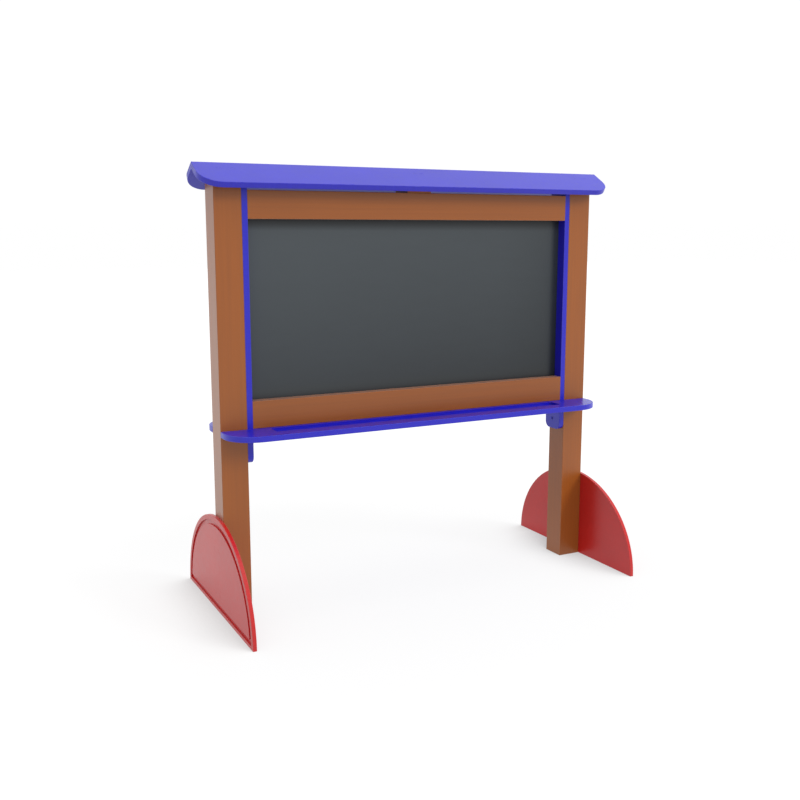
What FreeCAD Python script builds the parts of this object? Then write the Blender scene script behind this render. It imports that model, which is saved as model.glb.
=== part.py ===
import FreeCAD, Part
import os
import Sketcher
from FreeCAD import Placement, Rotation, Vector

# A free-standing two-sided chalkboard for a playground. X runs along the board, Y from front to back
# and Z up. The origin is on the ground, midway between the posts.

# Driving sizes in millimetres, and one angle in degrees.
SIZES = {
    # The writing surface that shows between the side plates and the rails.
    "opening_width": 1204.0,
    "opening_height": 575.1,
    # Posts, and the boards cut from the same lumber.
    "post_size": 88.9,
    "post_round": 2.0,
    "rail_height": 88.9,
    "rail_thickness": 38.1,
    "rail_round": 1.5,
    "block_length": 88.9,
    "block_height": 60.1,
    # The writing panel and how far it reaches behind its frame.
    "panel_thickness": 12.7,
    "panel_let_in": 7.6,
    "panel_lap": 17.2,
    "panel_gap": 0.4,
    # Side plates on the posts' inner faces.
    "plate_thickness": 19.05,
    "plate_drop": 95.0,
    "plate_corner_radius": 24.0,
    # The tray, notched round the posts, with a chalk trough on each side.
    "tray_height": 612.5,
    "tray_thickness": 19.05,
    "tray_overhang": 127.0,
    "tray_corner_radius": 101.6,
    "notch_gap": 0.5,
    "trough_end_gap": 53.0,
    "trough_width": 60.3,
    "trough_set_back": 15.9,
    "trough_depth": 9.5,
    "trough_corner_radius": 9.5,
    # The roof's two boards.
    "roof_overhang": 53.0,
    "roof_board_width": 127.0,
    "roof_thickness": 19.05,
    "roof_pitch": 30.0,
    "roof_corner_radius": 70.0,
    # The half-oval feet and the border engraved in them.
    "foot_length": 710.0,
    "foot_height": 320.0,
    "foot_thickness": 12.7,
    "border_inset": 16.0,
    "border_base_inset": 11.0,
    "border_width": 16.0,
    "border_depth": 5.0,
    # Eased edges of everything cut from sheet.
    "sheet_round": 1.5,
    # One kind of socket-head screw in several lengths, and the plugs that cover some of them.
    "screw_diameter": 6.3,
    "screw_point": 6.0,
    "head_diameter": 12.5,
    "head_height": 4.4,
    "head_round": 1.4,
    "head_sink": 0.8,
    "socket_width": 5.0,
    "socket_depth": 3.0,
    "hole_gap": 0.2,
    "plug_height": 3.0,
    "plug_round": 0.4,
    # How far each kind of screw bites into the piece that holds its thread.
    "plate_screw_bite": 48.0,
    "rail_screw_bite": 60.0,
    "foot_screw_bite": 45.0,
    "roof_screw_bite": 28.0,
    "tray_screw_bite": 40.0,
    "block_screw_bite": 45.0,
    # Where the screws stand.
    "plate_screw_up": 38.5,
    "plate_screw_spread": 300.0,
    "plate_screw_over_rail": 15.0,
    "rail_screw_spacing": 44.0,
    "foot_screw_spacing": 46.0,
    "foot_screw_up": 62.0,
    "foot_screw_drop": 108.0,
    "roof_screw_row": 38.0,
    "roof_screw_spacing": 44.0,
    "block_roof_screw_spacing": 22.0,
    "block_screw_spacing": 62.0,
    "tray_screw_end": 130.0,
}
TRAY_SCREWS_PER_RAIL = 4
SIDES = {"left": -1, "right": 1}
FACES = {"front": -1, "rear": 1}

# Places, as expressions of the sizes. First along X, from the middle out to one end.
PLATE_INNER = "(Sizes.opening_width / 2)"
PLATE_OUTER = f"({PLATE_INNER} + Sizes.plate_thickness)"
POST_MIDDLE = f"({PLATE_OUTER} + Sizes.post_size / 2)"
POST_OUTER = f"({PLATE_OUTER} + Sizes.post_size)"
FOOT_OUTER = f"({POST_OUTER} + Sizes.foot_thickness)"
ROOF_END = f"({POST_OUTER} + Sizes.roof_overhang)"
TROUGH_END = f"({PLATE_INNER} - Sizes.trough_end_gap)"
GROOVE_FLOOR = f"({PLATE_INNER} + Sizes.panel_let_in + Sizes.panel_gap)"

# Along Y, from the middle out to one side.
POST_FACE = "(Sizes.post_size / 2)"
PANEL_FACE = "(Sizes.panel_thickness / 2)"
RAIL_MIDDLE = f"({PANEL_FACE} + Sizes.rail_thickness / 2)"
TRAY_EDGE = f"({POST_FACE} + Sizes.tray_overhang)"
TROUGH_NEAR = f"({POST_FACE} + Sizes.trough_set_back)"
TROUGH_FAR = f"({TROUGH_NEAR} + Sizes.trough_width)"

# Up Z, from the ground.
TRAY_TOP = "Sizes.tray_height"
TRAY_UNDER = "(Sizes.tray_height - Sizes.tray_thickness)"
PLATE_LOW = f"({TRAY_UNDER} - Sizes.plate_drop)"
OPENING_LOW = f"({TRAY_TOP} + Sizes.rail_height)"
OPENING_MIDDLE = f"({OPENING_LOW} + Sizes.opening_height / 2)"
OPENING_HIGH = f"({OPENING_LOW} + Sizes.opening_height)"
RAILS_TOP = f"({OPENING_HIGH} + Sizes.rail_height)"
PEAK = f"({RAILS_TOP} + Sizes.block_height)"
EAVE = f"({PEAK} - {POST_FACE} * tan(Sizes.roof_pitch))"
RIDGE = f"({PEAK} + Sizes.roof_thickness / cos(Sizes.roof_pitch))"

# Radii of the screws and of the holes they sit in.
SHANK = "(Sizes.screw_diameter / 2)"
HEAD = "(Sizes.head_diameter / 2)"
HOLE = f"({SHANK} + Sizes.hole_gap)"
BORE = f"({HEAD} + Sizes.hole_gap)"

NEAR = 0.01

doc = FreeCAD.newDocument("Chalkboard")
sheet = doc.addObject("Spreadsheet::Sheet", "Sizes")
parts = {}


def fill_sheet():
    """One row for each driving size, with the size's name as the alias of its cell."""
    for row, (name, value) in enumerate(SIZES.items(), 1):
        sheet.set(f"A{row}", name)
        sheet.set(f"B{row}", str(value))
        sheet.setAlias(f"B{row}", name)
    doc.recompute()


def number(expression):
    """What an expression of the sizes comes to."""
    return float(sheet.evalExpression(expression))


def bind(thing, **expressions):
    """Bind properties to expressions. A double underscore stands for a dot in the property's path."""
    for name, expression in expressions.items():
        thing.setExpression(name.replace("__", "."), expression)


def new_body(name):
    return doc.addObject("PartDesign::Body", name)


def sketch_outline(body, name, plane, corners, offset="0"):
    """A closed outline of straight lines on an origin plane, each corner held by two expressions."""
    sketch = body.newObject("Sketcher::SketchObject", name)
    support = next(item for item in body.Origin.OriginFeatures if item.Role == plane)
    sketch.AttachmentSupport = [(support, "")]
    sketch.MapMode = "FlatFace"
    bind(sketch, AttachmentOffset__Base__z=offset)
    spots = [Vector(number(across), number(up), 0) for across, up in corners]
    count = len(corners)
    for index in range(count):
        sketch.addGeometry(Part.LineSegment(spots[index], spots[(index + 1) % count]))
    for index in range(count):
        sketch.addConstraint(Sketcher.Constraint("Coincident", index, 2, (index + 1) % count, 1))
    for index, (across, up) in enumerate(corners):
        hold(sketch, "DistanceX", index, spots[index].x, across)
        hold(sketch, "DistanceY", index, spots[index].y, up)
    return sketch


def hold(sketch, kind, index, value, expression):
    """Hold the start of one line at a distance from the sketch's origin."""
    place = sketch.addConstraint(Sketcher.Constraint(kind, -1, 1, index, 1, value))
    sketch.setExpression(f"Constraints[{place}]", expression)


def pad(body, sketch, length):
    feature = body.newObject("PartDesign::Pad", f"{sketch.Name}_pad")
    feature.Profile = sketch
    bind(feature, Length=length)
    doc.recompute()


def pocket(body, sketch, depth, reverse=False):
    """Cut a sketch into the body, and make sure that it took something away."""
    before = body.Shape.Volume
    feature = body.newObject("PartDesign::Pocket", f"{sketch.Name}_pocket")
    feature.Profile = sketch
    feature.Reversed = reverse
    bind(feature, Length=depth)
    doc.recompute()
    if body.Shape.Volume > before - NEAR:
        raise RuntimeError(f"{feature.Name} cuts nothing")


def turn(body, sketch):
    """Turn a sketch on the XZ plane about the vertical axis."""
    feature = body.newObject("PartDesign::Revolution", f"{sketch.Name}_turned")
    feature.Profile = sketch
    feature.ReferenceAxis = (sketch, ["V_Axis"])
    feature.Angle = 360
    doc.recompute()


def round_edges(body, name, radius, chosen):
    """Round the edges of the body's last feature that the test picks."""
    last = body.Tip
    edges = [f"Edge{index}" for index, edge in enumerate(last.Shape.Edges, 1) if chosen(edge)]
    if not edges:
        raise RuntimeError(f"{name} finds no edges")
    feature = body.newObject("PartDesign::Fillet", name)
    feature.Base = (last, edges)
    bind(feature, Radius=radius)
    doc.recompute()


def same(first, second):
    return abs(first - second) < NEAR


def runs_along(edge, axis):
    """Whether a straight edge runs along the axis."""
    if edge.Curve.TypeId != "Part::GeomLine":
        return False
    return same(abs(edge.Curve.Direction.dot(axis)), 1)


def finish(name, blank, screw_groups=()):
    """Drill a blank for the screws that pass through it and keep it as a sub-part."""
    piece = blank
    if screw_groups:
        tools = doc.addObject("Part::Compound", f"{name}_drills")
        tools.Links = [drills[group] for group in screw_groups]
        piece = doc.addObject("Part::Cut", f"{name}_drilled")
        piece.Base = blank
        piece.Tool = tools
    piece.Label = name
    parts[name] = piece


def gable_outline(foot_level):
    """The end view of a piece under the roof: straight sides and a top cut to the roof's slope."""
    return [
        (f"-{POST_FACE}", foot_level),
        (POST_FACE, foot_level),
        (POST_FACE, EAVE),
        ("0", PEAK),
        (f"-{POST_FACE}", EAVE),
    ]


def rectangle(low_x, low_y, high_x, high_y):
    return [(low_x, low_y), (high_x, low_y), (high_x, high_y), (low_x, high_y)]


# Screws, their holes and their plugs. Each is made once, head up, with the top of the head at its own
# origin, and linked into every place where it is used.

drills = {}


def make_screw(kind, length):
    """A screw with a low round head and a hexagon socket. The length is measured under the head."""
    body = new_body(f"{kind}_screw")
    shoulder = f"-(Sizes.head_height + {length} - Sizes.screw_point)"
    profile = [
        ("0", "0"),
        (HEAD, "0"),
        (HEAD, "-Sizes.head_height"),
        (SHANK, "-Sizes.head_height"),
        (SHANK, shoulder),
        ("0", f"-(Sizes.head_height + {length})"),
    ]
    turn(body, sketch_outline(body, f"{kind}_screw_profile", "XZ_Plane", profile))
    round_edges(body, f"{kind}_screw_crown", "Sizes.head_round", on_head_rim)
    socket = sketch_outline(body, f"{kind}_screw_socket", "XY_Plane", hexagon("Sizes.socket_width"))
    pocket(body, socket, "Sizes.socket_depth")
    return body


def on_head_rim(edge):
    """The round edge at the top of a screw's head."""
    box = edge.BoundBox
    return same(box.ZMax, 0) and same(box.ZMin, 0) and box.XLength > number("Sizes.screw_diameter")


def hexagon(width):
    """The corners of a regular hexagon, from its width across the flats."""
    reach = f"{width} / (2 * cos(30))"
    return [(f"{reach} * cos({angle})", f"{reach} * sin({angle})") for angle in range(0, 360, 60)]


def make_drill(kind, length, cover):
    """What is cut away for a screw: its shank's hole and, up to the cover above it, its head's bore."""
    body = new_body(f"{kind}_drill")
    bottom = f"-(Sizes.head_height + {length} + Sizes.hole_gap)"
    profile = [
        ("0", cover),
        (BORE, cover),
        (BORE, "-Sizes.head_height"),
        (HOLE, "-Sizes.head_height"),
        (HOLE, bottom),
        ("0", bottom),
    ]
    turn(body, sketch_outline(body, f"{kind}_drill_profile", "XZ_Plane", profile))
    return body


def make_plug():
    """A flush round plug that fills a bore above the screw's head."""
    body = new_body("plug")
    profile = rectangle("0", "0", HEAD, "Sizes.plug_height")
    turn(body, sketch_outline(body, "plug_profile", "XZ_Plane", profile))
    round_edges(body, "plug_rim", "Sizes.plug_round", on_plug_rim)
    return body


def on_plug_rim(edge):
    """The round edge at the top of a plug."""
    box = edge.BoundBox
    top = number("Sizes.plug_height")
    return same(box.ZMax, top) and same(box.ZMin, top) and box.XLength > number("Sizes.screw_diameter")


def spread(name, source, spots, axis, angle):
    """A group of links to one piece, one at each spot, all turned the same way."""
    links = []
    for index, (x, y, z) in enumerate(spots):
        link = doc.addObject("App::Link", f"{name}_{index}")
        link.LinkedObject = source
        link.Placement = Placement(Vector(), Rotation(axis, number(angle)))
        bind(link, Placement__Base__x=x, Placement__Base__y=y, Placement__Base__z=z)
        bind(link, Placement__Rotation__Angle=angle)
        links.append(link)
    group = doc.addObject("Part::Compound", f"{name}_group")
    group.Links = links
    return group


def fasten(name, screw, drill, spots, axis, angle, plug=None):
    """Put one kind of screw, its holes and any plugs at the spots where the tops of the heads lie."""
    group = f"{name}_screws"
    finish(group, spread(group, screw, spots, axis, angle))
    drills[group] = spread(f"{name}_drills", drill, spots, axis, angle)
    if plug:
        finish(f"{name}_plugs", spread(f"{name}_plugs", plug, spots, axis, angle))


def make_plate_screws():
    """Side plate to post, heads on the plate's inner face. The middle two are under the panel's edge."""
    length = "(Sizes.plate_thickness - Sizes.head_sink - Sizes.head_height + Sizes.plate_screw_bite)"
    screw = make_screw("plate", length)
    drill = make_drill("plate", length, "(2 * Sizes.head_sink)")
    heights = {
        f"{PLATE_LOW} + Sizes.plate_screw_up": PLATE_INNER,
        f"{OPENING_MIDDLE} - Sizes.plate_screw_spread / 2": GROOVE_FLOOR,
        f"{OPENING_MIDDLE} + Sizes.plate_screw_spread / 2": GROOVE_FLOOR,
        f"{RAILS_TOP} + Sizes.plate_screw_over_rail": PLATE_INNER,
    }
    for side, sign in SIDES.items():
        spots = [(f"{sign} * ({face} + Sizes.head_sink)", "0", height) for height, face in heights.items()]
        fasten(f"{side}_plate", screw, drill, spots, Vector(0, 1, 0), f"{-sign * 90}")


def make_rail_screws():
    """Side plate into the rail ends, two in each, heads sunk in the face that lies against the post."""
    length = "(Sizes.plate_thickness - Sizes.head_sink - Sizes.head_height + Sizes.rail_screw_bite)"
    screw = make_screw("rail", length)
    drill = make_drill("rail", length, "(2 * Sizes.head_sink)")
    middles = [f"({TRAY_TOP} + Sizes.rail_height / 2)", f"({OPENING_HIGH} + Sizes.rail_height / 2)"]
    heights = [f"{middle} + {step} * Sizes.rail_screw_spacing / 2" for middle in middles for step in (-1, 1)]
    for side, sign in SIDES.items():
        out = f"{sign} * ({PLATE_OUTER} - Sizes.head_sink)"
        spots = [(out, f"{face} * {RAIL_MIDDLE}", height) for height in heights for face in FACES.values()]
        fasten(f"{side}_rail", screw, drill, spots, Vector(0, 1, 0), f"{sign * 90}")


def make_foot_screws(plug):
    """Foot to post, four in each, under plugs."""
    length = "(Sizes.foot_thickness - Sizes.plug_height - Sizes.head_height + Sizes.foot_screw_bite)"
    screw = make_screw("foot", length)
    drill = make_drill("foot", length, "(2 * Sizes.plug_height)")
    heights = ["Sizes.foot_screw_up", "Sizes.foot_height - Sizes.foot_screw_drop"]
    for side, sign in SIDES.items():
        spots = []
        for height in heights:
            for step in (-1, 1):
                across = f"{step} * Sizes.foot_screw_spacing / 2"
                spots.append((f"{sign} * ({FOOT_OUTER} - Sizes.plug_height)", across, height))
        fasten(f"{side}_foot", screw, drill, spots, Vector(0, 1, 0), f"{sign * 90}", plug)


def make_roof_screws(plug):
    """Roof boards to both posts and to the centre block, square to the boards, under plugs."""
    length = "(Sizes.roof_thickness - Sizes.plug_height - Sizes.head_height + Sizes.roof_screw_bite)"
    screw = make_screw("roof", length)
    drill = make_drill("roof", length, "(2 * Sizes.plug_height)")
    sine, cosine = "sin(Sizes.roof_pitch)", "cos(Sizes.roof_pitch)"
    out = f"(Sizes.roof_screw_row * {cosine} - Sizes.plug_height * {sine})"
    height = f"{RIDGE} - Sizes.roof_screw_row * {sine} - Sizes.plug_height * {cosine}"
    stations = [f"{step} * Sizes.block_roof_screw_spacing / 2" for step in (-1, 1)]
    for sign in SIDES.values():
        for step in (-1, 1):
            stations.append(f"{sign} * ({POST_MIDDLE} + {step} * Sizes.roof_screw_spacing / 2)")
    for face, sign in FACES.items():
        spots = [(station, f"{sign} * {out}", height) for station in stations]
        fasten(f"{face}_roof", screw, drill, spots, Vector(1, 0, 0), f"{-sign} * Sizes.roof_pitch", plug)


def make_tray_screws():
    """Tray to bottom rails, from below, evenly spaced along each rail."""
    length = "(Sizes.tray_thickness - Sizes.head_sink - Sizes.head_height + Sizes.tray_screw_bite)"
    screw = make_screw("tray", length)
    drill = make_drill("tray", length, "(2 * Sizes.head_sink)")
    reach = f"({PLATE_INNER} - Sizes.tray_screw_end)"
    shares = [2 * index / (TRAY_SCREWS_PER_RAIL - 1) - 1 for index in range(TRAY_SCREWS_PER_RAIL)]
    for face, sign in FACES.items():
        spots = [(f"{share} * {reach}", f"{sign} * {RAIL_MIDDLE}", f"{TRAY_UNDER} + Sizes.head_sink")
                 for share in shares]
        fasten(f"{face}_tray", screw, drill, spots, Vector(1, 0, 0), "180")


def make_block_screws():
    """Centre block down into both top rails, heads sunk below the sloping top."""
    top = f"({PEAK} - ({RAIL_MIDDLE} + {HEAD}) * tan(Sizes.roof_pitch) - Sizes.head_sink)"
    length = f"({top} - Sizes.head_height - {RAILS_TOP} + Sizes.block_screw_bite)"
    screw = make_screw("block", length)
    drill = make_drill("block", length, "Sizes.head_diameter")
    spots = []
    for face in FACES.values():
        for step in (-1, 1):
            spots.append((f"{step} * Sizes.block_screw_spacing / 2", f"{face} * {RAIL_MIDDLE}", top))
    fasten("block", screw, drill, spots, Vector(0, 0, 1), "0")


# The boards.

def make_post(side, sign):
    body = new_body(f"{side}_post_blank")
    start = f"{sign} * {POST_MIDDLE} - {POST_FACE}"
    outline = sketch_outline(body, f"{side}_post_end", "YZ_Plane", gable_outline("0"), start)
    pad(body, outline, "Sizes.post_size")
    round_edges(body, f"{side}_post_eased", "Sizes.post_round",
                lambda edge: runs_along(edge, Vector(0, 0, 1)))
    groups = [f"{side}_plate_screws", f"{side}_foot_screws", "front_roof_screws", "rear_roof_screws"]
    finish(f"{side}_post", body, groups)


def make_side_plate(side, sign):
    """A strip of sheet with round lower corners and a stopped groove for the panel's edge."""
    body = new_body(f"{side}_side_plate_blank")
    start = PLATE_INNER if sign > 0 else f"-{PLATE_OUTER}"
    outline = sketch_outline(body, f"{side}_plate_end", "YZ_Plane", gable_outline(PLATE_LOW), start)
    pad(body, outline, "Sizes.plate_thickness")
    low = number(PLATE_LOW)
    corner = f"min(Sizes.plate_corner_radius; {POST_FACE} - Sizes.sheet_round)"
    round_edges(body, f"{side}_plate_corners", corner,
                lambda edge: runs_along(edge, Vector(1, 0, 0)) and same(edge.CenterOfMass.z, low))
    eave = number(EAVE)
    round_edges(body, f"{side}_plate_eased", "Sizes.sheet_round",
                lambda edge: same(edge.BoundBox.XLength, 0) and edge.BoundBox.ZMin < eave - NEAR)
    half = f"({PANEL_FACE} + Sizes.panel_gap)"
    margin = "(Sizes.panel_lap + Sizes.panel_gap)"
    slot = rectangle(f"-{half}", f"{OPENING_LOW} - {margin}", half, f"{OPENING_HIGH} + {margin}")
    groove = sketch_outline(body, f"{side}_plate_groove", "YZ_Plane", slot, f"{sign} * {PLATE_INNER}")
    pocket(body, groove, "Sizes.panel_let_in + Sizes.panel_gap", reverse=sign > 0)
    finish(f"{side}_side_plate", body, [f"{side}_plate_screws", f"{side}_rail_screws"])


def make_rail(face, sign, level, bottom, groups):
    body = new_body(f"{face}_{level}_rail_blank")
    near, far = f"{sign} * {PANEL_FACE}", f"{sign} * ({PANEL_FACE} + Sizes.rail_thickness)"
    end = rectangle(near, bottom, far, f"{bottom} + Sizes.rail_height")
    pad(body, sketch_outline(body, f"{face}_{level}_rail_end", "YZ_Plane", end, f"-{PLATE_INNER}"),
        "Sizes.opening_width")
    round_edges(body, f"{face}_{level}_rail_eased", "Sizes.rail_round",
                lambda edge: runs_along(edge, Vector(1, 0, 0)))
    finish(f"{face}_{level}_rail", body, ["left_rail_screws", "right_rail_screws", *groups])


def make_panel():
    box = doc.addObject("Part::Box", "panel")
    bind(box, Length="Sizes.opening_width + 2 * Sizes.panel_let_in", Width="Sizes.panel_thickness")
    bind(box, Height="Sizes.opening_height + 2 * Sizes.panel_lap")
    bind(box, Placement__Base__x=f"-{PLATE_INNER} - Sizes.panel_let_in")
    bind(box, Placement__Base__y=f"-{PANEL_FACE}", Placement__Base__z=f"{OPENING_LOW} - Sizes.panel_lap")
    finish("chalkboard_panel", box)


def make_tray():
    """One board under the bottom rails, notched round the posts and side plates."""
    body = new_body("chalk_tray_blank")
    notch_x = f"({PLATE_INNER} - Sizes.notch_gap)"
    notch_y = f"({POST_FACE} + Sizes.notch_gap)"
    quarter = [(notch_x, notch_y), (POST_OUTER, notch_y), (POST_OUTER, TRAY_EDGE)]
    outline = []
    for sign_x, sign_y, step in ((1, 1, 1), (-1, 1, -1), (-1, -1, 1), (1, -1, -1)):
        outline += [(f"{sign_x} * {x}", f"{sign_y} * {y}") for x, y in quarter[::step]]
    pad(body, sketch_outline(body, "tray_outline", "XY_Plane", outline, TRAY_UNDER), "Sizes.tray_thickness")
    rim = number(TRAY_EDGE)
    corner = "min(Sizes.tray_corner_radius; Sizes.tray_overhang - Sizes.notch_gap - Sizes.sheet_round)"
    round_edges(body, "tray_corners", corner,
                lambda edge: runs_along(edge, Vector(0, 0, 1)) and same(abs(edge.CenterOfMass.y), rim))
    inside = number(notch_y) + NEAR
    round_edges(body, "tray_eased", "Sizes.sheet_round",
                lambda edge: same(edge.BoundBox.ZLength, 0) and abs(edge.CenterOfMass.y) > inside)
    for face, sign in FACES.items():
        cut_trough(body, face, sign)
    finish("chalk_tray", body, ["front_tray_screws", "rear_tray_screws"])


def cut_trough(body, face, sign):
    """A long shallow pocket with round corners in the top of the tray."""
    mouth = rectangle(f"-{TROUGH_END}", f"{sign} * {TROUGH_NEAR}", TROUGH_END, f"{sign} * {TROUGH_FAR}")
    pocket(body, sketch_outline(body, f"{face}_trough", "XY_Plane", mouth, TRAY_TOP), "Sizes.trough_depth")
    end = number(TROUGH_END)
    corner = "min(Sizes.trough_corner_radius; Sizes.trough_width / 2 - Sizes.sheet_round)"
    round_edges(body, f"{face}_trough_corners", corner,
                lambda edge: runs_along(edge, Vector(0, 0, 1)) and same(abs(edge.CenterOfMass.x), end)
                and edge.CenterOfMass.y * sign > 0)


def make_roof_board(face, sign):
    """One slope of the roof, mitred against the other at the ridge, with round corners at the eave."""
    body = new_body(f"{face}_roof_board_blank")
    sine, cosine = "sin(Sizes.roof_pitch)", "cos(Sizes.roof_pitch)"
    out, eave = f"Sizes.roof_board_width * {cosine}", f"{RIDGE} - Sizes.roof_board_width * {sine}"
    section = [
        ("0", RIDGE),
        (f"{sign} * {out}", eave),
        (f"{sign} * ({out} - Sizes.roof_thickness * {sine})", f"{eave} - Sizes.roof_thickness * {cosine}"),
        ("0", PEAK),
    ]
    outline = sketch_outline(body, f"{face}_roof_section", "YZ_Plane", section, f"-{ROOF_END}")
    pad(body, outline, f"2 * {ROOF_END}")
    end, thickness = number(ROOF_END), number("Sizes.roof_thickness")
    under_width = "(Sizes.roof_board_width - Sizes.roof_thickness)"
    corner = f"min(Sizes.roof_corner_radius; {under_width} - Sizes.sheet_round)"
    round_edges(body, f"{face}_roof_corners", corner,
                lambda edge: same(abs(edge.CenterOfMass.x), end) and same(edge.Length, thickness))
    round_edges(body, f"{face}_roof_eased", "Sizes.sheet_round",
                lambda edge: edge.BoundBox.YLength + abs(edge.CenterOfMass.y) > NEAR
                and not same(edge.Length, thickness))
    finish(f"{face}_roof_board", body, [f"{face}_roof_screws"])


def make_centre_block():
    body = new_body("centre_roof_block_blank")
    start = "-Sizes.block_length / 2"
    outline = sketch_outline(body, "block_end", "YZ_Plane", gable_outline(RAILS_TOP), start)
    pad(body, outline, "Sizes.block_length")
    finish("centre_roof_block", body, ["block_screws", "front_roof_screws", "rear_roof_screws"])


def half_oval(name, inset, base, start, thickness):
    """A plate lying on XY: the foot's oval drawn in by an inset, and only what is above a base line."""
    across, up = f"(Sizes.foot_length / 2 - {inset})", f"(Sizes.foot_height - {inset})"
    oval = doc.addObject("Part::Ellipse", f"{name}_oval")
    bind(oval, MajorRadius=f"max({across}; {up})", MinorRadius=f"min({across}; {up})")
    bind(oval, Placement__Rotation__Angle=f"{up} > {across} ? 90 : 0", Placement__Base__z=start)
    plate = doc.addObject("Part::Extrusion", f"{name}_plate")
    plate.Base = oval
    plate.DirMode = "Custom"
    plate.Dir = Vector(0, 0, 1)
    plate.Solid = True
    bind(plate, LengthFwd=thickness)
    keep = doc.addObject("Part::Box", f"{name}_keep")
    bind(keep, Length="2 * Sizes.foot_length", Width="2 * Sizes.foot_height", Height=thickness)
    bind(keep, Placement__Base__x="-Sizes.foot_length", Placement__Base__y=base, Placement__Base__z=start)
    half = doc.addObject("Part::Common", f"{name}_half")
    half.Base = plate
    half.Tool = keep
    return half


def subtract(name, base, tool):
    feature = doc.addObject("Part::Cut", name)
    feature.Base = base
    feature.Tool = tool
    return feature


def make_foot(side, sign):
    """A half-oval plate with an engraved border, made lying face up and then stood on its edge."""
    plate = half_oval(f"{side}_foot", "0", "0", "0", "Sizes.foot_thickness")
    floor = "Sizes.foot_thickness - Sizes.border_depth"
    inner_inset = "(Sizes.border_inset + Sizes.border_width)"
    inner_base = "Sizes.border_base_inset + Sizes.border_width"
    outer = half_oval(f"{side}_border_outer", "Sizes.border_inset", "Sizes.border_base_inset", floor,
                      "Sizes.border_depth")
    inner = half_oval(f"{side}_border_inner", inner_inset, inner_base, floor, "Sizes.border_depth")
    border = subtract(f"{side}_border", outer, inner)
    body = new_body(f"{side}_foot_blank")
    body.BaseFeature = subtract(f"{side}_foot_engraved", plate, border)
    doc.recompute()
    tip = number("Sizes.foot_length / 2")
    round_edges(body, f"{side}_foot_eased", "Sizes.sheet_round",
                lambda edge: same(edge.BoundBox.ZLength, 0) and edge.BoundBox.YLength > NEAR
                and any(same(abs(corner.X), tip) for corner in edge.Vertexes))
    stood_up = Rotation(Vector(0, sign, 0), Vector(0, 0, 1), Vector(sign, 0, 0), "ZYX")
    body.Placement = Placement(Vector(), stood_up)
    bind(body, Placement__Base__x=f"{sign} * {POST_OUTER}")
    finish(f"{side}_foot", body, [f"{side}_foot_screws"])


def make_everything():
    plug = make_plug()
    make_plate_screws()
    make_rail_screws()
    make_foot_screws(plug)
    make_roof_screws(plug)
    make_tray_screws()
    make_block_screws()
    for side, sign in SIDES.items():
        make_post(side, sign)
        make_side_plate(side, sign)
        make_foot(side, sign)
    for face, sign in FACES.items():
        make_rail(face, sign, "bottom", TRAY_TOP, [f"{face}_tray_screws"])
        make_rail(face, sign, "top", OPENING_HIGH, ["block_screws"])
        make_roof_board(face, sign)
    make_panel()
    make_tray()
    make_centre_block()
    doc.recompute()


def check_everything():
    """Stop before anything is written if an object failed or a sub-part has no sound shape."""
    failed = [item.Name for item in doc.Objects if "Invalid" in item.State or "Error" in item.State]
    unsound = [name for name, piece in parts.items() if piece.Shape.isNull() or not piece.Shape.isValid()]
    if failed or unsound:
        raise RuntimeError(f"failed: {failed}, unsound: {unsound}")


def export_everything():
    os.makedirs("parts", exist_ok=True)
    for name, piece in parts.items():
        piece.Shape.exportStep(os.path.join("parts", f"{name}.step"))
        print(f"{name}: {len(piece.Shape.Solids)} solids, {piece.Shape.Volume / 1000:.1f} cm3")


fill_sheet()
make_everything()
check_everything()
export_everything()
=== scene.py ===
import math

import bpy
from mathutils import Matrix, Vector

# The looks of a playground chalkboard: a finish for every piece, a white studio and the camera.
# Lengths are in metres and colours are linear. A pair of numbers is the range from one to the other.

BROWN = (0.31, 0.083, 0.007)
BLUE = (0.012, 0.009, 0.48)
RED = (0.53, 0.009, 0.009)
SLATE = (0.0095, 0.012, 0.0138)
# The chalked shade is also the lightest colour of the painted sheen on the writing surface.
CHALK_AND_SHEEN_SLATE = (0.0655, 0.077, 0.0855)
STEEL = (0.48, 0.48, 0.49)
WHITE = (1, 1, 1)

ROOF_PITCH = math.radians(30)
ALONG_X, ALONG_Y, ALONG_Z = Vector((1, 0, 0)), Vector((0, 1, 0)), Vector((0, 0, 1))
FRONT_SLOPE = Vector((0, -math.sin(ROOF_PITCH), math.cos(ROOF_PITCH)))
REAR_SLOPE = Vector((0, math.sin(ROOF_PITCH), math.cos(ROOF_PITCH)))

# Boards of lumber by the way they run, and boards of sheet by the way their broad faces look.
RAILS = ["front_top_rail", "rear_top_rail", "front_bottom_rail", "rear_bottom_rail"]
LUMBER = {
    "upright_lumber": (ALONG_Z, ["left_post", "right_post"]),
    "level_lumber": (ALONG_X, [*RAILS, "centre_roof_block"]),
}
SHEET = {
    "blue_side_sheet": (BLUE, ALONG_X, ["left_side_plate", "right_side_plate"]),
    "blue_tray_sheet": (BLUE, ALONG_Z, ["chalk_tray"]),
    "blue_front_roof_sheet": (BLUE, FRONT_SLOPE, ["front_roof_board", "front_roof_plugs"]),
    "blue_rear_roof_sheet": (BLUE, REAR_SLOPE, ["rear_roof_board", "rear_roof_plugs"]),
    "red_sheet": (RED, ALONG_X, ["left_foot", "right_foot", "left_foot_plugs", "right_foot_plugs"]),
}
WRITING_PANEL = "chalkboard_panel"
RAIL_ABOVE_PANEL = "front_top_rail"
COATED_SCREWS = ["left_plate_screws", "right_plate_screws", "front_tray_screws", "rear_tray_screws"]
SMOOTH_BELOW = math.radians(32)

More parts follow.
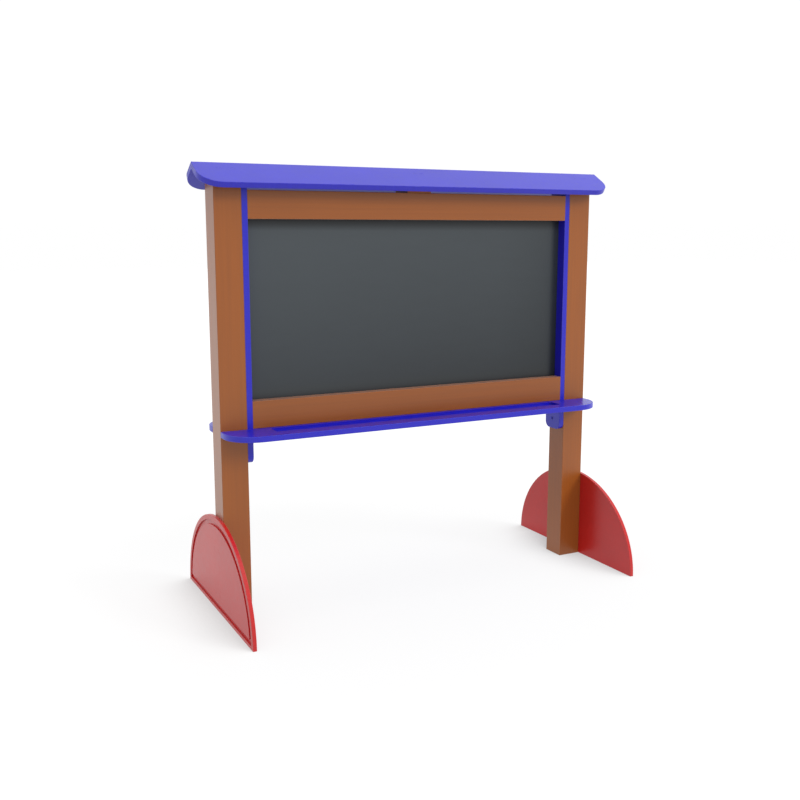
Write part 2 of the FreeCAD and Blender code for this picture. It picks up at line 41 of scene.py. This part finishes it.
# Noise patterns: lumps to the metre along an axis and across it, then the number of finer layers and
# the strength of each layer.
NOISE = {
    "streaks": (1.6, 110.0, 5.0, 0.62),
    "drift": (2.3, 2.3, 2.0, 0.55),
    "flecks": (240.0, 760.0, 2.0, 0.7),
    "grain": (60.0, 900.0, 3.0, 0.65),
    "pebbles": (420.0, 420.0, 2.0, 0.5),
    "mottle": (5.0, 5.0, 3.0, 0.55),
    "scuffs": (60.0, 60.0, 4.0, 0.7),
    "cutter_marks": (25.0, 700.0, 2.0, 0.55),
    "tooth": (1400.0, 1400.0, 2.0, 0.7),
    "wiping": (26.0, 7.0, 5.0, 0.6),
    "clouds": (2.5, 2.5, 3.0, 0.55),
    "drawn_steel": (300.0, 2500.0, 3.0, 0.7),
    "dimples": (900.0, 900.0, 2.0, 0.55),
}

# How much of a second noise goes with a first, and the range of the two together that is used.
DRIFT_IN_STREAKS, STREAKED = 0.4, (0.5, 0.9)
GRAIN_IN_STREAKS, RIBBED = 0.5, (0.5, 1.0)
SCUFFS_IN_MOTTLE, MOTTLED = 0.6, (0.6, 1.0)
CLOUDS_IN_WIPING, WIPED = 0.8, (0.6, 1.2)

# The range of a single noise that is used: nearly all of it, its middle or only its peaks.
NOISE_WIDE, NOISE_MIDDLE, NOISE_NARROW = (0.3, 0.7), (0.35, 0.65), (0.38, 0.62)
NOISE_PEAKS = (0.66, 0.78)

# Shades of a finish as factors on its colour.
PLAIN = 1.0
LUMBER_SHADES, FLECK_SHADE, FLECK_SHARE = (0.93, 1.07), 1.6, 0.35
BROAD_FACE_SHADES, MILLED_EDGE_SHADES = (0.94, 1.06), (0.94, 1.1)
STEEL_SHADES, COATING_SHADES = (0.85, 1.15), (0.8, 0.95)

# Gloss: how strongly a finish mirrors, and from how smooth to how rough it is.
PLASTIC_IOR = 1.54
PANEL_SPECULAR = 0.35
LUMBER_SHEEN, LUMBER_SHEEN_SPREAD = 0.25, 0.4
LUMBER_ROUGHNESS, SHEET_ROUGHNESS, PANEL_ROUGHNESS = (0.29, 0.37), (0.29, 0.38), (0.29, 0.36)
STEEL_ROUGHNESS, COATING_ROUGHNESS = (0.29, 0.42), (0.29, 0.36)
BROAD_FACE_SMOOTHER, SCUFFED = -0.25, (0.1, 0.75)

# Depths of the relief.
STREAK_DEPTH, GRAIN_DEPTH = 0.000015, 0.000005
SHEET_DEPTH, TOOTH_DEPTH, METAL_DEPTH = 0.00004, 0.00001, 0.00002

# How squarely a face looks along an axis: from a milled edge to a broad face, and from a flat face to a
# rounded corner. Flat faces of sheet look fully along the axis or not at all, and its corners about half.
BROAD_FACE = (0.75, 0.95)
LUMBER_CORNER = (0.99, 0.9)
HALF_ALONG, SHEET_CORNER = 0.5, (0.48, 0.38)

# Wear on rounded corners: how patchy it is, and how far it bleaches and roughens them.
LUMBER_RUBBED, SHEET_RUBBED = (0.1, 0.8), (0.1, 1.0)
BLEACHED, ROUGHENED = 0.05, 0.15

# Chalk haze on the writing surface, which also carries a painted sheen: lighter towards the top left
# corner of the front. Painted shade makes it thinner towards the right end and fades it out close under
# the top rail.
HAZE_AND_SHEEN_WAY = Vector((-0.23, 0, 1))
HAZE_AND_SHEEN_REACH, HAZE_UNEVEN, HAZE_AND_SHEEN_SHARE = (0.654, 1.505), 0.1, (0.2, 1.07)
DUST_ON_TOOTH = (0.85, 1.15)
# Painted shade: how far below the top rail, and in from the right end, the writing surface is darkened.
RAIL_SHADOW_REACH = 0.037
END_SHADE_REACH, LIT_SHARE_AT_END = 0.25, 0.75

CAMERA_PLACE = (-1.57723, -3.00549, 1.23815)
CAMERA_PITCH, CAMERA_YAW = math.radians(-9.78), math.radians(-26.93)
CAMERA_LENS, CAMERA_SENSOR = 44.007, 36.0

LAMP_PLACE, LAMP_AIM = Vector((6.36, -8.15, 5.94)), Vector((0.0, 0.0, 0.9))
LAMP_SIZE, LAMP_POWER = 4.1, 525.0

# The sky as light on the object: from below, low down and overhead, where a power gathers it at the top.
# Where the sky is mirrored, it is white from the horizon down and a little brighter overhead.
SKY_BELOW, SKY_LOW, SKY_TOP, SKY_GATHERED = 0.75, 0.5, 1.5, 3.0
SKY_MIRRORED = 1.3
HORIZON = (-0.05, 0.05)

# The floor glows more the farther out it is. Near the object's feet a painted shadow, taken from
# occlusion by the object, darkens the glow.
FLOOR_HALF = 30.0
FLOOR_COLOUR = (0.58, 0.58, 0.58)
GLOW_STRENGTH = 1.14
GLOW_FROM_MIDDLE, GLOW_SHARE = (0.9, 2.6), (0.7, 1.0)
# Reach, falloff and leaning side of the painted shadow in the floor's glow.
CONTACT_REACH, CONTACT_FALL = 0.22, 2.3
CONTACT_LIGHT_FROM = (0.42, -0.5, 0.76)


class Nodes:
    """A node tree, with short ways to add nodes and wire them."""

    def __init__(self, tree):
        self.tree = tree

    def add(self, kind, inputs=None, **settings):
        """A new node. An input is either a plain value or another node's output."""
        node = self.tree.nodes.new(kind)
        for name, value in settings.items():
            setattr(node, name, value)
        for name, value in (inputs or {}).items():
            self.set(node, name, value)
        return node

    def set(self, node, name, value):
        """Give a node's input a plain value, or wire another node's output into it."""
        if isinstance(value, bpy.types.NodeSocket):
            self.tree.links.new(value, node.inputs[name])
        else:
            node.inputs[name].default_value = value

    def math(self, operation, *values):
        return self.add("ShaderNodeMath", dict(enumerate(values)), operation=operation).outputs[0]

    def along(self, vector, way):
        """How far a vector reaches along a given way."""
        product = self.add("ShaderNodeVectorMath", {0: vector, 1: way}, operation="DOT_PRODUCT")
        return product.outputs["Value"]

    def spread(self, value, old_range, new_range=(0.0, 1.0), **settings):
        """A value's range stretched to a new one and held inside it."""
        inputs = {"Value": value}
        inputs["From Min"], inputs["From Max"] = old_range
        inputs["To Min"], inputs["To Max"] = new_range
        return self.add("ShaderNodeMapRange", inputs, **settings).outputs["Result"]

    def blend(self, share, first, second):
        """One value going over to another."""
        return self.spread(share, (0.0, 1.0), (first, second))

    def place(self):
        """Where a point is."""
        return self.add("ShaderNodeTexCoord").outputs["Object"]

    def seen_directly(self):
        """One where a ray looks, straight on, mirrored or through glass, none where it carries light."""
        rays = self.add("ShaderNodeLightPath").outputs
        mirrored = self.math("MAXIMUM", rays["Is Glossy Ray"], rays["Is Transmission Ray"])
        return self.math("MAXIMUM", rays["Is Camera Ray"], mirrored)


class Finish(Nodes):
    """A material of the object."""

    def __init__(self, name, **values):
        self.material = bpy.data.materials.new(name)
        self.material.use_nodes = True
        super().__init__(self.material.node_tree)
        self.shader = self.tree.nodes["Principled BSDF"]
        for socket, value in values.items():
            self.shader.inputs[socket.replace("_", " ")].default_value = value

    def noise(self, pattern, axis=ALONG_X):
        """Soft noise in one of the patterns, laid along an axis."""
        along, across, layers, strength = NOISE[pattern]
        scale = [along if part else across for part in axis]
        place = self.add("ShaderNodeMapping", {"Vector": self.place(), "Scale": scale}).outputs[0]
        inputs = {"Vector": place, "Scale": 1.0, "Detail": layers, "Roughness": strength}
        return self.add("ShaderNodeTexNoise", inputs).outputs["Fac"]

    def mix(self, share, first, second):
        """One colour going over to another."""
        node = self.add("ShaderNodeMix", data_type="RGBA")
        sockets = {"Factor_Float": share, "A_Color": first, "B_Color": second}
        for index, socket in enumerate(node.inputs):
            if socket.identifier in sockets:
                self.set(node, index, sockets[socket.identifier])
        return next(socket for socket in node.outputs if socket.identifier == "Result_Color")

    def sum(self, first, second, share):
        """The first value plus a share of the second."""
        return self.math("MULTIPLY_ADD", second, share, first)

    def facing(self, axis):
        """How squarely a face looks along an axis, either way."""
        normal = self.add("ShaderNodeNewGeometry").outputs["True Normal"]
        return self.math("ABSOLUTE", self.along(normal, axis))

    def bump(self, height, depth, under=None):
        """Relief of the given depth, on top of any other."""
        inputs = {"Height": height, "Distance": depth, "Strength": 1.0}
        if under:
            inputs["Normal"] = under
        return self.add("ShaderNodeBump", inputs).outputs["Normal"]

    def wire(self, colour, roughness, normal):
        """The material, once these three are wired to its shader."""
        self.set(self.shader, "Base Color", colour)
        self.set(self.shader, "Roughness", roughness)
        self.set(self.shader, "Normal", normal)
        return self.material


def shade(colour, factor=PLAIN):
    """A colour made lighter or darker, with the fourth value that a colour input takes."""
    return (*(min(1.0, part * factor) for part in colour), 1.0)


def shades(colour, factors):
    return [shade(colour, factor) for factor in factors]


def worn(colour):
    """A colour bleached where hands and shoes rub it."""
    return shade([part + BLEACHED * (1.0 - part) for part in colour])


def make_lumber(name, axis):
    """Recycled plastic lumber: tone in streaks along the board, small flecks and rubbed corners."""
    sheen = {"Sheen_Weight": LUMBER_SHEEN, "Sheen_Roughness": LUMBER_SHEEN_SPREAD}
    finish = Finish(name, IOR=PLASTIC_IOR, **sheen)
    streaks, flecks, grain = [finish.noise(pattern, axis) for pattern in ("streaks", "flecks", "grain")]
    level = finish.math("MAXIMUM", finish.facing(ALONG_X), finish.facing(ALONG_Y))
    rounded = finish.spread(finish.math("MAXIMUM", level, finish.facing(ALONG_Z)), LUMBER_CORNER)
    rubbed = finish.math("MULTIPLY", rounded, finish.spread(flecks, NOISE_MIDDLE, LUMBER_RUBBED))
    tone = finish.sum(streaks, finish.noise("drift"), DRIFT_IN_STREAKS)
    body = finish.mix(finish.spread(tone, STREAKED), *shades(BROWN, LUMBER_SHADES))
    flecked = finish.spread(flecks, NOISE_PEAKS, (0.0, FLECK_SHARE))
    speckled = finish.mix(flecked, body, shade(BROWN, FLECK_SHADE))
    colour = finish.mix(rubbed, speckled, worn(BROWN))
    ribs = finish.sum(streaks, grain, GRAIN_IN_STREAKS)
    roughness = finish.sum(finish.spread(ribs, RIBBED, LUMBER_ROUGHNESS), rubbed, ROUGHENED)
    skin = finish.bump(streaks, STREAK_DEPTH)
    return finish.wire(colour, roughness, finish.bump(grain, GRAIN_DEPTH, skin))


def make_sheet(name, colour, axis):
    """Plastic sheet: a fine pebbled skin on broad faces, cutter marks on milled edges, rubbed corners."""
    finish = Finish(name, IOR=PLASTIC_IOR)
    pebbles, mottle, scuffs = [finish.noise(pattern) for pattern in ("pebbles", "mottle", "scuffs")]
    cutter = finish.noise("cutter_marks", axis)
    facing = finish.facing(axis)
    broad = finish.spread(facing, BROAD_FACE)
    from_half = finish.math("ABSOLUTE", finish.math("SUBTRACT", facing, HALF_ALONG))
    rounded = finish.spread(from_half, SHEET_CORNER)
    rubbed = finish.math("MULTIPLY", rounded, finish.spread(scuffs, NOISE_NARROW, SHEET_RUBBED))
    tone = finish.sum(mottle, scuffs, SCUFFS_IN_MOTTLE)
    body = finish.mix(finish.spread(tone, MOTTLED), *shades(colour, BROAD_FACE_SHADES))
    milled = finish.mix(finish.spread(cutter, NOISE_MIDDLE), *shades(colour, MILLED_EDGE_SHADES))
    surface = finish.mix(rubbed, finish.mix(broad, milled, body), worn(colour))
    scuffed = finish.sum(scuffs, broad, BROAD_FACE_SMOOTHER)
    roughness = finish.sum(finish.spread(scuffed, SCUFFED, SHEET_ROUGHNESS), rubbed, ROUGHENED)
    height = finish.blend(broad, cutter, pebbles)
    return finish.wire(surface, roughness, finish.bump(height, SHEET_DEPTH))


def painted_shade_near_edges(finish):
    """Painted shade: the share of the chalk haze and its sheen kept close under the top rail and towards
    the right end.
    """
    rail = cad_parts[RAIL_ABOVE_PANEL].data.vertices
    low, end = min(vertex.co.z for vertex in rail), max(vertex.co.x for vertex in rail)
    height, across = [finish.along(finish.place(), way) for way in (ALONG_Z, ALONG_X)]
    # Painted shadow under the top rail, and painted shade towards the right end.
    rail_shadow_mask = finish.spread(height, (low, low - RAIL_SHADOW_REACH))
    end_shade_mask = finish.spread(across, (end, end - END_SHADE_REACH), (LIT_SHARE_AT_END, 1.0))
    return finish.math("MULTIPLY", rail_shadow_mask, end_shade_mask)


def make_writing_surface():
    """A matt writing surface: fine tooth, ghosts of old wiping, and a chalk haze carrying a painted sheen
    and shade.
    """
    finish = Finish("writing_surface", Specular_IOR_Level=PANEL_SPECULAR)
    tooth = finish.noise("tooth")
    tone = finish.sum(finish.noise("wiping", ALONG_Z), finish.noise("clouds"), CLOUDS_IN_WIPING)
    # The haze grows towards the top left: chalk, and a painted sheen as well.
    haze_and_sheen_reach = finish.sum(finish.along(finish.place(), HAZE_AND_SHEEN_WAY), tone, HAZE_UNEVEN)
    haze_and_sheen = finish.spread(haze_and_sheen_reach, HAZE_AND_SHEEN_REACH, HAZE_AND_SHEEN_SHARE)
    dust_and_sheen = finish.math("MULTIPLY", haze_and_sheen, finish.spread(tooth, NOISE_WIDE, DUST_ON_TOOTH))
    # The chalk and its painted sheen, darkened by the painted shade near the rail and the right end.
    chalk_sheen_and_shade = finish.math("MULTIPLY", dust_and_sheen, painted_shade_near_edges(finish))
    colour = finish.mix(chalk_sheen_and_shade, shade(SLATE), shade(CHALK_AND_SHEEN_SLATE))
    roughness = finish.spread(tone, WIPED, PANEL_ROUGHNESS)
    return finish.wire(colour, roughness, finish.bump(tooth, TOOTH_DEPTH))


def make_metal(finish, pattern, colours, roughness):
    """Fill a metal finish with one noise that sets its shade, its gloss and its relief."""
    noise = finish.noise(pattern)
    colour = finish.mix(finish.spread(noise, NOISE_WIDE), *colours)
    gloss = finish.spread(noise, NOISE_WIDE, roughness)
    return finish.wire(colour, gloss, finish.bump(noise, METAL_DEPTH))


def make_steel():
    """Stainless steel with a drawn grain."""
    finish = Finish("screw_steel", Metallic=1.0)
    return make_metal(finish, "drawn_steel", shades(STEEL, STEEL_SHADES), STEEL_ROUGHNESS)


def make_coating():
    """A thin blue coating on a screw's head."""
    finish = Finish("blue_coated_steel")
    return make_metal(finish, "dimples", shades(BLUE, COATING_SHADES), COATING_ROUGHNESS)


def dress(nodes, material):
    """Give nodes their finish, and smooth shading between faces that meet at a small angle."""
    for node in nodes:
        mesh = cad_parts[node].data
        mesh.materials.clear()
        mesh.materials.append(material)
        mesh.shade_smooth()
        mesh.set_sharp_from_angle(angle=SMOOTH_BELOW)


def dress_everything():
    for name, (axis, nodes) in LUMBER.items():
        dress(nodes, make_lumber(name, axis))
    for name, (colour, axis, nodes) in SHEET.items():
        dress(nodes, make_sheet(name, colour, axis))
    dress([WRITING_PANEL], make_writing_surface())
    screws = [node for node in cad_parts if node.endswith("_screws")]
    dress([node for node in screws if node not in COATED_SCREWS], make_steel())
    dress(COATED_SCREWS, make_coating())


def make_world():
    """A sky that is white where it is seen or mirrored, and lights the object mostly from overhead."""
    world = bpy.data.worlds.new("studio")
    world.use_nodes = True
    world.cycles.sampling_method = "NONE"
    bpy.context.scene.world = world
    nodes = Nodes(world.node_tree)
    background = world.node_tree.nodes["Background"]
    up = nodes.along(nodes.add("ShaderNodeTexCoord").outputs["Generated"], ALONG_Z)
    overhead = nodes.math("POWER", nodes.math("MAXIMUM", up, 0.0), SKY_GATHERED)
    level = nodes.spread(up, HORIZON, (SKY_BELOW, SKY_LOW))
    light = nodes.math("MULTIPLY_ADD", overhead, SKY_TOP, level)
    mirrored = nodes.blend(up, 1.0, SKY_MIRRORED)
    nodes.set(background, "Color", shade(WHITE))
    nodes.set(background, "Strength", nodes.blend(nodes.seen_directly(), light, mirrored))


def make_floor_finish():
    """White that fades into the background. Close to the object its matt part keeps a soft shadow and its
    glow has a painted shadow.
    """
    material = bpy.data.materials.new("floor")
    material.use_nodes = True
    material.node_tree.nodes.clear()
    nodes = Nodes(material.node_tree)
    light_from = nodes.add("ShaderNodeCombineXYZ", dict(enumerate(CONTACT_LIGHT_FROM))).outputs[0]
    contact = {"Distance": CONTACT_REACH, "Normal": light_from}
    # Painted shadow: occlusion, leaned towards one side, darkens the glow near the object.
    open_share = nodes.add("ShaderNodeAmbientOcclusion", contact).outputs["AO"]
    painted_shadow = nodes.math("POWER", nodes.math("SUBTRACT", 1.0, open_share), CONTACT_FALL)
    glow_with_painted_shadow = nodes.math("SUBTRACT", 1.0, painted_shadow)
    away = nodes.add("ShaderNodeVectorMath", {0: nodes.place()}, operation="LENGTH").outputs["Value"]
    fade = nodes.spread(away, GLOW_FROM_MIDDLE, GLOW_SHARE, interpolation_type="SMOOTHSTEP")
    share = nodes.math("MULTIPLY", fade, nodes.seen_directly())
    matt = nodes.add("ShaderNodeBsdfDiffuse", {"Color": shade(FLOOR_COLOUR)}).outputs[0]
    glow = nodes.add("ShaderNodeEmission", {"Color": glow_with_painted_shadow, "Strength": GLOW_STRENGTH}).outputs[0]
    both = nodes.add("ShaderNodeMixShader", {0: share, 1: matt, 2: glow}).outputs[0]
    nodes.add("ShaderNodeOutputMaterial", {"Surface": both})
    return material


def make_floor():
    """A wide pale floor that sends no light up to the object."""
    mesh = bpy.data.meshes.new("floor")
    corners = [(x * FLOOR_HALF, y * FLOOR_HALF, 0) for x, y in ((-1, -1), (1, -1), (1, 1), (-1, 1))]
    mesh.from_pydata(corners, [], [(0, 1, 2, 3)])
    mesh.materials.append(make_floor_finish())
    floor = bpy.data.objects.new("floor", mesh)
    floor.visible_diffuse = False
    bpy.context.scene.collection.objects.link(floor)


def make_lamp():
    """A broad soft lamp that leaves no bright spot in the gloss."""
    light = bpy.data.lights.new("front_softbox", "AREA")
    light.shape = "DISK"
    light.size = LAMP_SIZE
    light.energy = LAMP_POWER
    lamp = bpy.data.objects.new("front_softbox", light)
    lamp.location = LAMP_PLACE
    lamp.rotation_euler = (LAMP_AIM - LAMP_PLACE).to_track_quat("-Z", "Y").to_euler()
    lamp.visible_glossy = False
    bpy.context.scene.collection.objects.link(lamp)


def make_camera():
    """The camera, which looks level along +Y before it is tilted and turned."""
    lens = bpy.data.cameras.new("camera")
    lens.lens, lens.sensor_width = CAMERA_LENS, CAMERA_SENSOR
    camera = bpy.data.objects.new("camera", lens)
    camera.location = CAMERA_PLACE
    camera.rotation_euler = (math.pi / 2 + CAMERA_PITCH, 0, CAMERA_YAW)
    bpy.context.scene.collection.objects.link(camera)
    bpy.context.scene.camera = camera


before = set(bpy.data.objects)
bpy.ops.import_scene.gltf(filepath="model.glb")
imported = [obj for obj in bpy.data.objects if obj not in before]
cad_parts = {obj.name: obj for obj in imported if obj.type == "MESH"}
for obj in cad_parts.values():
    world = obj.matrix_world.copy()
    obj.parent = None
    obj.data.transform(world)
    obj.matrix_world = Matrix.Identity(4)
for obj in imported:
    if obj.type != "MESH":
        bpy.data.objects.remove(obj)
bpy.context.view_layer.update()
dress_everything()
make_world()
make_floor()
make_lamp()
make_camera()
bpy.context.scene.view_settings.view_transform = "Standard"
